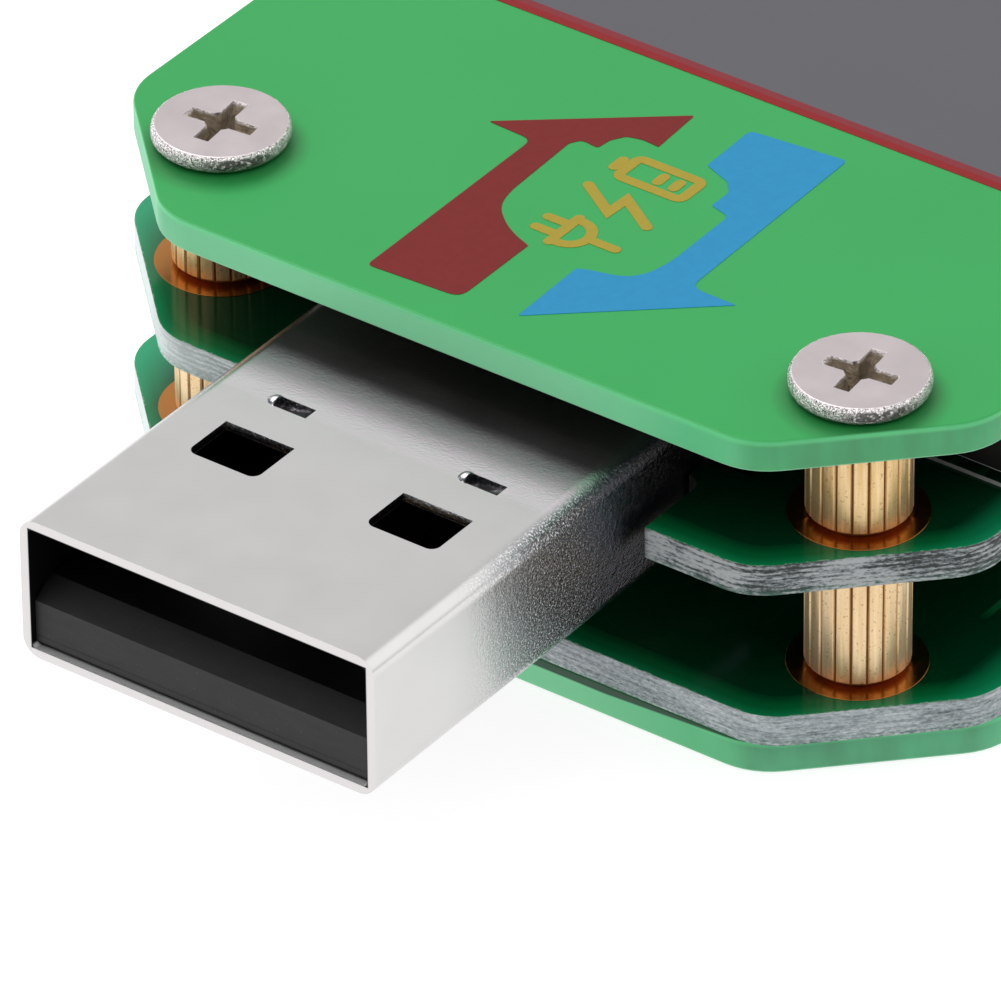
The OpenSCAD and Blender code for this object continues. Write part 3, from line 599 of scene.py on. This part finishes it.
def ink(name, red, green, blue):
    """Screen-printed ink with a faint mesh texture."""
    full, thin = srgb(red, green, blue), srgb(0.94 * red, 0.94 * green, 0.94 * blue)
    look = Look(name, full, 0.5, Specular_IOR_Level=0.16)
    mottle = look.noise(0.25 * MM, 3.0)
    look.shade(Base_Color=look.mix(mottle, full, thin))
    look.shade(Roughness=look.rising(0.45, mottle, 0.1))
    look.bump(mottle, 2 * MICRON, 0.3)
    return look.material


def light_table():
    """Pale opal sheet, lit from below as well as from above, so that shadows stay faint."""
    look = Look("light_table", srgb(150, 150, 151), 0.7,
                Emission_Color=(1, 1, 1, 1), Emission_Strength=0.82)
    paper = look.noise(3 * MM, 3.0)
    look.shade(Base_Color=look.mix(paper, srgb(148, 148, 149), srgb(153, 153, 154)))
    look.shade(Roughness=look.rising(0.65, paper, 0.1))
    return look.material


# ---------------------------------------------------------------- which node wears which look

# Looks by material slot, and under names of their own for the nodes in OWN_LOOK
LOOKS = {
    "cover_green": green_sheet(
        "green_sheet_top", COVER_LOW.z, COVER_HIGH.z, GREEN_SIDE, top_sheet=True),
    "cover_green_bottom": green_sheet(
        "green_sheet_bottom", BOTTOM_LOW.z, BOTTOM_HIGH.z, GREEN_SIDE_BELOW, top_sheet=False),
    "board_green": circuit_board(
        "upper_solder_mask", UPPER_LOW, UPPER_HIGH, UPPER_CUT, coarse=1.2, light_shade=0.75,
        dark_notch_walls=True),
    "board_green_lower": circuit_board(
        "lower_solder_mask", LOWER_LOW, LOWER_HIGH, LOWER_CUT, coarse=0.45, light_shade=0.97,
        dark_notch_walls=False),
    "window_grey": smoked_window(),
    "brass": brass(),
    "nickel": screw_nickel("screw_nickel", SCREWS_HIGH.z),
    "nickel_bottom": screw_nickel("sunk_screw_nickel", 0.0),
    "shell_steel": shell_nickel(),
    "plug_steel": plug_nickel(),
    "tongue": tongue_plastic(),
    "gold": gold_plate("gold_plate", srgb(224, 176, 96)),
    "tin": tinned(),
}
# By slot: name, dark and light colour, roughness, size of the grain in mm, depth in micrometres
PLASTICS = {
    "black_nylon": ("black_nylon", (16, 17, 18), (26, 27, 29), 0.45, 0.14, 5),
    "charcoal_pbt": ("charcoal_plastic", (40, 40, 41), (48, 48, 49), 0.5, 0.14, 5),
    "fibre": ("brown_fibre", (48, 34, 28), (70, 50, 38), 0.7, 0.14, 5),
    "lcd_frame_white": ("white_frame", (206, 210, 214), (224, 227, 230), 0.4, 0.14, 5),
    "lcd_glass": ("display_glass", (52, 56, 62), (60, 64, 70), 0.14, 0.6, 0.5),
    "black_tape": ("black_tape", (16, 17, 18), (26, 27, 29), 0.55, 0.3, 5),
    "foam_tape": ("foam_tape", (224, 220, 208), (238, 236, 228), 0.8, 0.2, 20),
    "polyimide": ("amber_film", (150, 84, 24), (176, 104, 34), 0.25, 0.5, 2),
    "chip_black": ("chip_epoxy", (24, 25, 27), (36, 37, 40), 0.55, 0.06, 6),
    "resistor_black": ("resistor_body", (20, 22, 23), (34, 36, 37), 0.35, 0.14, 5),
    "ferrite": ("ferrite", (66, 66, 68), (86, 86, 88), 0.6, 0.1, 14),
    "tantalum": ("tantalum_epoxy", (196, 138, 40), (214, 156, 56), 0.45, 0.14, 5),
    "ceramic_tan": ("ceramic_body", (150, 116, 82), (172, 138, 100), 0.35, 0.14, 5),
    "led": ("led_epoxy", (226, 222, 196), (240, 238, 220), 0.2, 0.14, 5),
    "blue_board": ("blue_solder_mask", (10, 46, 92), (14, 60, 112), 0.18, 0.6, 3),
}
for slot_name, plastic in PLASTICS.items():
    LOOKS[slot_name] = moulded(*plastic)
OWN_LOOK = {
    "bottom_cover": "cover_green_bottom", "lower_board": "board_green_lower",
    "bottom_screws": "nickel_bottom", "plug_shell": "plug_steel", "plug_insulator": "tongue",
}
BEVEL_MM = {
    "top_cover": 0.08, "bottom_cover": 0.08, "display_window": 0.0, "plug_shell": 0.05,
    "socket_shell": 0.07, "top_screws": 0.03, "bottom_screws": 0.03, "upper_board": 0.025,
    "lower_board": 0.025, "upper_standoffs": 0.02, "lower_standoffs": 0.02, "plug_insulator": 0.03,
    "socket_insulator": 0.08,
}
DEFAULT_BEVEL_MM = 0.04


def refine(piece, bevel_mm):
    """Joins the piece's split corners and rounds its sharp edges a little, by modifiers."""
    mesh = piece.data
    if "custom_normal" in mesh.attributes:
        mesh.attributes.remove(mesh.attributes["custom_normal"])
    for face in mesh.polygons:
        face.use_smooth = True
    weld = piece.modifiers.new("weld", "WELD")
    weld.merge_threshold = 1 * MICRON
    flat = piece.modifiers.new("flat", "DECIMATE")
    flat.decimate_type = "DISSOLVE"
    flat.angle_limit = math.radians(0.5)
    if bevel_mm > 0:
        bevel = piece.modifiers.new("bevel", "BEVEL")
        bevel.width = bevel_mm * MM
        bevel.segments = 3
        bevel.limit_method = "ANGLE"
        bevel.angle_limit = math.radians(32)
        bevel.use_clamp_overlap = True
    even = piece.modifiers.new("even", "WEIGHTED_NORMAL")
    even.mode = "FACE_AREA"
    even.weight = 90


record_slots = {row["node"]: row["material_slot"] for row in frame["record"]["subparts"]}
for node_name, cad_node in NODES.items():
    look_name = OWN_LOOK.get(node_name, record_slots[node_name])
    cad_node.data.materials.clear()
    cad_node.data.materials.append(LOOKS[look_name])
    refine(cad_node, BEVEL_MM.get(node_name, DEFAULT_BEVEL_MM))


# ---------------------------------------------------------------- mesh helpers

def add_piece(name, bm, material):
    """Makes an object of a mesh, gives it a material and sets it riding on the meter."""
    bmesh.ops.recalc_face_normals(bm, faces=bm.faces)
    mesh = bpy.data.meshes.new(name)
    bm.to_mesh(mesh)
    bm.free()
    mesh.materials.append(material)
    piece = bpy.data.objects.new(name, mesh)
    bpy.context.scene.collection.objects.link(piece)
    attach(piece, "root")


def arc(centre, radius, start, end, steps):
    """Points on a circle from one angle to another, in degrees."""
    angles = [math.radians(start + (end - start) * i / steps) for i in range(steps + 1)]
    return [(centre[0] + radius * math.cos(a), centre[1] + radius * math.sin(a)) for a in angles]


def rounded(outline, radius=3.0):
    """Rounds the corners of an outline; a corner may carry its own radius as a third number."""
    steps = 6
    longest = 0.48
    result = []
    for i, corner in enumerate(outline):
        here = Vector(corner[:2])
        r = corner[2] if len(corner) > 2 else radius
        to_last = Vector(outline[i - 1][:2]) - here
        to_next = Vector(outline[(i + 1) % len(outline)][:2]) - here
        half = to_last.angle(to_next) / 2
        reach = min(r / math.tan(half), longest * to_last.length, longest * to_next.length)
        a = here + to_last.normalized() * reach
        b = here + to_next.normalized() * reach
        for k in range(steps + 1):
            t = k / steps
            result.append(tuple(a * (1 - t) ** 2 + here * (2 * t * (1 - t)) + b * t ** 2))
    return result


def prism(bm, outline, low, high):
    """Adds an extruded flat outline, a list of (x, y), between two heights."""
    bottom = [bm.verts.new((x, y, low)) for x, y in outline]
    top = [bm.verts.new((x, y, high)) for x, y in outline]
    bm.faces.new(top)
    bm.faces.new(list(reversed(bottom)))
    for i in range(len(outline)):
        j = (i + 1) % len(outline)
        bm.faces.new((bottom[i], bottom[j], top[j], top[i]))


def offset_sides(points, reach, closed):
    """The two lines at a distance from a line of points, mitred at its bends."""
    sharpest = 0.35
    count = len(points)
    points = [Vector(p) for p in points]
    left, right = [], []
    for i, point in enumerate(points):
        before = points[i - 1] if i or closed else None
        after = points[(i + 1) % count] if i < count - 1 or closed else None
        ahead = (after - point).normalized() if after else (point - before).normalized()
        behind = (point - before).normalized() if before else ahead
        across = Vector((-(ahead + behind).y, (ahead + behind).x)).normalized()
        far = reach / max(sharpest, across.dot(Vector((-ahead.y, ahead.x))))
        left.append(tuple(point + across * far))
        right.append(tuple(point - across * far))
    return left, right


def stroke(bm, points, width, low, high):
    """Adds an open stroke of even width with round ends."""
    left, right = offset_sides(points, width / 2, closed=False)
    leaving = Vector(points[1]) - Vector(points[0])
    arriving = Vector(points[-1]) - Vector(points[-2])
    start = math.degrees(math.atan2(leaving.y, leaving.x))
    end = math.degrees(math.atan2(arriving.y, arriving.x))
    outline = right + arc(points[-1], width / 2, end - 90, end + 90, 8)[1:-1]
    outline += left[::-1] + arc(points[0], width / 2, start + 90, start + 270, 8)[1:-1]
    prism(bm, outline, low, high)


def loop(bm, points, width, low, high):
    """Adds a closed frame of even width."""
    left, right = offset_sides(points, width / 2, closed=True)
    rings = [[bm.verts.new((*p, z)) for p in side] for z in (low, high) for side in (left, right)]
    for i in range(len(points)):
        j = (i + 1) % len(points)
        for a, b in ((0, 1), (1, 3), (3, 2), (2, 0)):
            bm.faces.new((rings[a][i], rings[a][j], rings[b][j], rings[b][i]))


def ring(bm, centre, inner, outer, low, high, steps=64):
    """Adds a flat washer with a slightly rounded outer edge."""
    soft = min(0.3 * (high - low), 0.1 * (outer - inner))
    profile = [
        (inner, low), (outer, low), (outer, high - soft), (outer - soft, high), (inner, high),
    ]
    rounds = []
    for i in range(steps):
        a = 2 * math.pi * i / steps
        rounds.append([
            bm.verts.new((centre[0] + r * math.cos(a), centre[1] + r * math.sin(a), z))
            for r, z in profile
        ])
    for i in range(steps):
        here, there = rounds[i], rounds[(i + 1) % steps]
        for k in range(len(profile)):
            m = (k + 1) % len(profile)
            bm.faces.new((here[k], here[m], there[m], there[k]))


def box_outline(low, high, gap):
    """The corners of a box seen from above, a gap further out."""
    return [(low.x - gap, low.y - gap), (high.x + gap, low.y - gap),
            (high.x + gap, high.y + gap), (low.x - gap, high.y + gap)]


# ---------------------------------------------------------------- printed marks on the cover

INK = 12 * MICRON
OVERLAP = 0.4 * MICRON
STROKE = 0.33 * MM
SIGN_Y_MM = -0.2


def on_cover(points):
    """Cover places given as (distance from the front edge, y) in mm, in metres."""
    return [(FRONT + p[0] * MM, p[1] * MM) for p in points]


def printed(name, outline, color):
    """A filled shape of ink on the top cover."""
    bm = bmesh.new()
    prism(bm, on_cover(rounded(outline)), TOP, TOP + INK)
    add_piece(name, bm, ink(name + "_ink", *color))


def sign(name, x, strokes, frames=()):
    """A gold pictogram x mm from the front edge; each stroke lies a little over the last one."""
    bm = bmesh.new()
    height = TOP + INK
    for points in strokes:
        stroke(bm, on_cover([(x + u, SIGN_Y_MM + v) for u, v in points]), STROKE, TOP, height)
        height += OVERLAP
    for points in frames:
        corners = rounded([(x + u, SIGN_Y_MM + v) for u, v in points], 0.22)
        loop(bm, on_cover(corners), STROKE, TOP, height)
        height += OVERLAP
    add_piece(name, bm, ink(name + "_ink", 160, 142, 46))


def window_line(name, gap, width, color):
    """A printed line round the window, whose outer edge lies a gap outside the window's."""
    bm = bmesh.new()
    loop(bm, box_outline(WINDOW_LOW, WINDOW_HIGH, gap - width / 2), width, TOP, TOP + INK)
    add_piece(name, bm, ink(name + "_ink", *color))


printed("red_arrow", [
    (1.17, 3.71, 0.2), (1.33, 0.64, 0.45), (4.53, 0.64, 0.05), (4.74, 1.2), (5.04, 1.75), (5.52, 2.29),
    (5.94, 2.55), (6.56, 2.68), (9.43, 2.79, 0.3), (9.78, 2.6), (9.71, 2.0, 0.12), (10.24, 1.94, 0.3),
    (10.66, 1.68, 0.3), (10.78, 1.2, 0.3), (10.73, 0.63, 0.06), (12.66, 0.75, 0.06), (9.07, 5.32, 0.05),
    (8.98, 3.76, 0.35),
], (114, 26, 24))
printed("blue_arrow", [
    (12.9, -0.98, 0.25), (13.2, -4.1, 0.2), (5.42, -4.24, 0.45), (5.4, -5.8, 0.04), (1.5, -1.19, 0.06),
    (4.36, -1.12, 0.15), (4.51, -1.5, 0.3), (4.69, -2.22), (4.92, -2.62), (5.33, -2.89), (6.13, -3.06),
    (8.94, -3.03, 0.3), (9.12, -2.33, 0.12), (9.94, -2.34, 0.4), (10.36, -2.0, 0.3), (10.75, -1.03, 0.15),
], (34, 134, 180))
sign("plug_sign", 5.75, (
    arc((0, 0.3), 0.62, 180, 360, 14),
    [(-0.62, 0.3), (-0.62, 0.5)], [(0.62, 0.3), (0.62, 0.5)], [(-0.72, 0.5), (0.72, 0.5)],
    [(-0.3, 0.6), (-0.3, 1.25)], [(0.3, 0.6), (0.3, 1.25)], [(0, -0.35), (0, -1.25)],
))
sign("bolt_sign", 7.6, ([(0.42, 1.3), (-0.42, 0.02), (0.42, -0.02), (-0.42, -1.3)],))
sign("battery_sign", 9.4, (
    [(-0.22, 1.25), (0.22, 1.25)], [(-0.16, -0.75), (0.16, -0.75)], [(-0.16, -0.2), (0.16, -0.2)],
), ([(-0.55, -1.25), (0.55, -1.25), (0.55, 0.92), (-0.55, 0.92)],))
window_line("window_line_outer", 0.4 * MM, 0.3 * MM, (134, 24, 26))
window_line("window_line_inner", 0.1 * MM, 0.26 * MM, (126, 44, 50))


# ---------------------------------------------------------------- thin things on the boards

# Height of each board face, and the side that it faces
BOARD_FACES = {
    "upper_top": (UPPER_HIGH.z, 1), "upper_under": (UPPER_LOW.z, -1),
    "lower_top": (LOWER_HIGH.z, 1), "lower_under": (LOWER_LOW.z, -1),
}
PAD_T = 18 * MICRON
PAD_R = 2.0 * MM
PAD_HOLE_R = 1.15 * MM
VIA_T = 14 * MICRON
VIA_R = 0.3 * MM
VIA_HOLE_R = 0.13 * MM
VIAS_PER_FACE = 46
VIAS_X = (FRONT + 8 * MM, LOWER_HIGH.x - 6 * MM)
VIAS_Y = (-12.6 * MM, 12.6 * MM)
MARK_T = 16 * MICRON
MARK_W = 0.14 * MM
MARK_GAP = 0.3 * MM
LCD_MARK_GAP = 0.12 * MM
MARKED = (
    "controller_chip", "memory_chip", "regulator_chip", "driver_chip", "shunt_resistor", "inductor",
    "crystal", "wireless_board", "lcd_bezel",
)


def on_face(surface, side, thickness):
    """The two heights of a thin thing that lies on a board's face."""
    return min(surface, surface + side * thickness), max(surface, surface + side * thickness)


pad_gold = gold_plate("pad_gold", srgb(186, 124, 64))
for face_name, (surface, side) in BOARD_FACES.items():
    pads = bmesh.new()
    for spot in SCREW_SPOTS:
        ring(pads, spot, PAD_HOLE_R, PAD_R, *on_face(surface, side, PAD_T))
    add_piece("pads_" + face_name, pads, pad_gold)

via_gold = gold_plate("via_gold", srgb(214, 170, 96))
chance = random.Random(7)
for face_name, (surface, side) in BOARD_FACES.items():
    vias = bmesh.new()
    for _ in range(VIAS_PER_FACE):
        spot = (chance.uniform(*VIAS_X), chance.uniform(*VIAS_Y))
        ring(vias, spot, VIA_HOLE_R, VIA_R, *on_face(surface, side, VIA_T), steps=16)
    add_piece("vias_" + face_name, vias, via_gold)

white_ink = ink("white_mark_ink", 206, 210, 208)
for node_name in MARKED:
    low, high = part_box(node_name)
    surface, side = min(
        BOARD_FACES.values(), key=lambda face: abs((low if face[1] > 0 else high).z - face[0]))
    gap = LCD_MARK_GAP if node_name == "lcd_bezel" else MARK_GAP
    mark = bmesh.new()
    loop(mark, box_outline(low, high, gap), MARK_W, *on_face(surface, side, MARK_T))
    add_piece("mark_" + node_name, mark, white_ink)


# ---------------------------------------------------------------- floor, light and camera

FLOOR_HALF = 3.0
FLOOR_GAP = 30 * MICRON
floor_mesh = bpy.data.meshes.new("floor")
floor_mesh.from_pydata(
    [(x * FLOOR_HALF, y * FLOOR_HALF, -FLOOR_GAP) for x, y in ((-1, -1), (1, -1), (1, 1), (-1, 1))],
    [], [(0, 1, 2, 3)])
floor_mesh.materials.append(light_table())
floor = bpy.data.objects.new("floor", floor_mesh)
bpy.context.scene.collection.objects.link(floor)

SKY_STRENGTH = 0.84
# Patches of the sky: direction, cosines where the patch starts and is full, its strength
SKY_PATCHES = (
    ((0.3, -1, 0.2), 0.2, 0.9, 0.7),           # dimmer to the right
    ((-0.6, 0.8, 0.3), 0.2, 0.9, 1.15),        # brighter to the front left
    ((-0.1, -0.35, 1), 0.7, 0.95, 1.35),       # brighter overhead
    ((0.665, -0.56, 0.49), 0.84, 0.97, 1.3),   # brighter at the back right
    ((-0.74, -0.52, 0.43), 0.82, 0.94, 0.08),  # dark behind and below the camera
)


def studio_sky():
    """White studio with brighter and darker patches."""
    world = bpy.data.worlds.new("studio")
    world.use_nodes = True
    tree = world.node_tree
    background = tree.nodes["Background"]
    direction = tree.nodes.new("ShaderNodeTexCoord").outputs["Generated"]

    def toward(vector, start, full):
        """0 away from a direction, 1 close to it."""
        dot = tree.nodes.new("ShaderNodeVectorMath")
        dot.operation = "DOT_PRODUCT"
        tree.links.new(direction, dot.inputs[0])
        dot.inputs[1].default_value = Vector(vector).normalized()
        ramp = tree.nodes.new("ShaderNodeMapRange")
        ramp.interpolation_type = "SMOOTHSTEP"
        tree.links.new(dot.outputs["Value"], ramp.inputs["Value"])
        ramp.inputs["From Min"].default_value = start
        ramp.inputs["From Max"].default_value = full
        return ramp.outputs[0]

    first = tree.nodes.new("ShaderNodeValue")
    first.outputs[0].default_value = SKY_STRENGTH
    light = first.outputs[0]
    for vector, start, full, strength in SKY_PATCHES:
        mix = tree.nodes.new("ShaderNodeMix")
        mix.data_type = "FLOAT"
        tree.links.new(toward(vector, start, full), mix.inputs[0])
        tree.links.new(light, mix.inputs[2])
        mix.inputs[3].default_value = strength
        light = mix.outputs[0]
    tree.links.new(light, background.inputs["Strength"])
    background.inputs["Color"].default_value = (1, 1, 1, 1)
    bpy.context.scene.world = world


def softbox(name, place, side, power):
    """A square lamp that points at the middle of the floor."""
    light = bpy.data.lights.new(name, "AREA")
    light.shape = "RECTANGLE"
    light.size = side
    light.size_y = side
    light.energy = power
    lamp = bpy.data.objects.new(name, light)
    bpy.context.scene.collection.objects.link(lamp)
    lamp.location = place
    lamp.rotation_mode = "QUATERNION"
    lamp.rotation_quaternion = (-Vector(place)).to_track_quat("-Z", "Y")


studio_sky()
softbox("key", (0.12, 0.5, 0.8), side=0.5, power=3.0)

CAMERA_AT = Vector((-250.25, -168.49, 197.42)) * MM
CAMERA_LOOKS = Vector((0.66532, 0.4905, -0.56282))
CAMERA_ROLL = math.radians(-0.593)
camera_data = bpy.data.cameras.new("camera")
camera_data.sensor_width = 36
camera_data.lens = 443.4
camera_data.clip_start = 0.01
camera_data.clip_end = 20
camera = bpy.data.objects.new("camera", camera_data)
bpy.context.scene.collection.objects.link(camera)
camera.location = CAMERA_AT
camera.rotation_mode = "QUATERNION"
camera.rotation_quaternion = CAMERA_LOOKS.to_track_quat("-Z", "Y") @ Quaternion((0, 0, 1), CAMERA_ROLL)
bpy.context.scene.camera = camera
bpy.context.scene.view_settings.view_transform = "Standard"
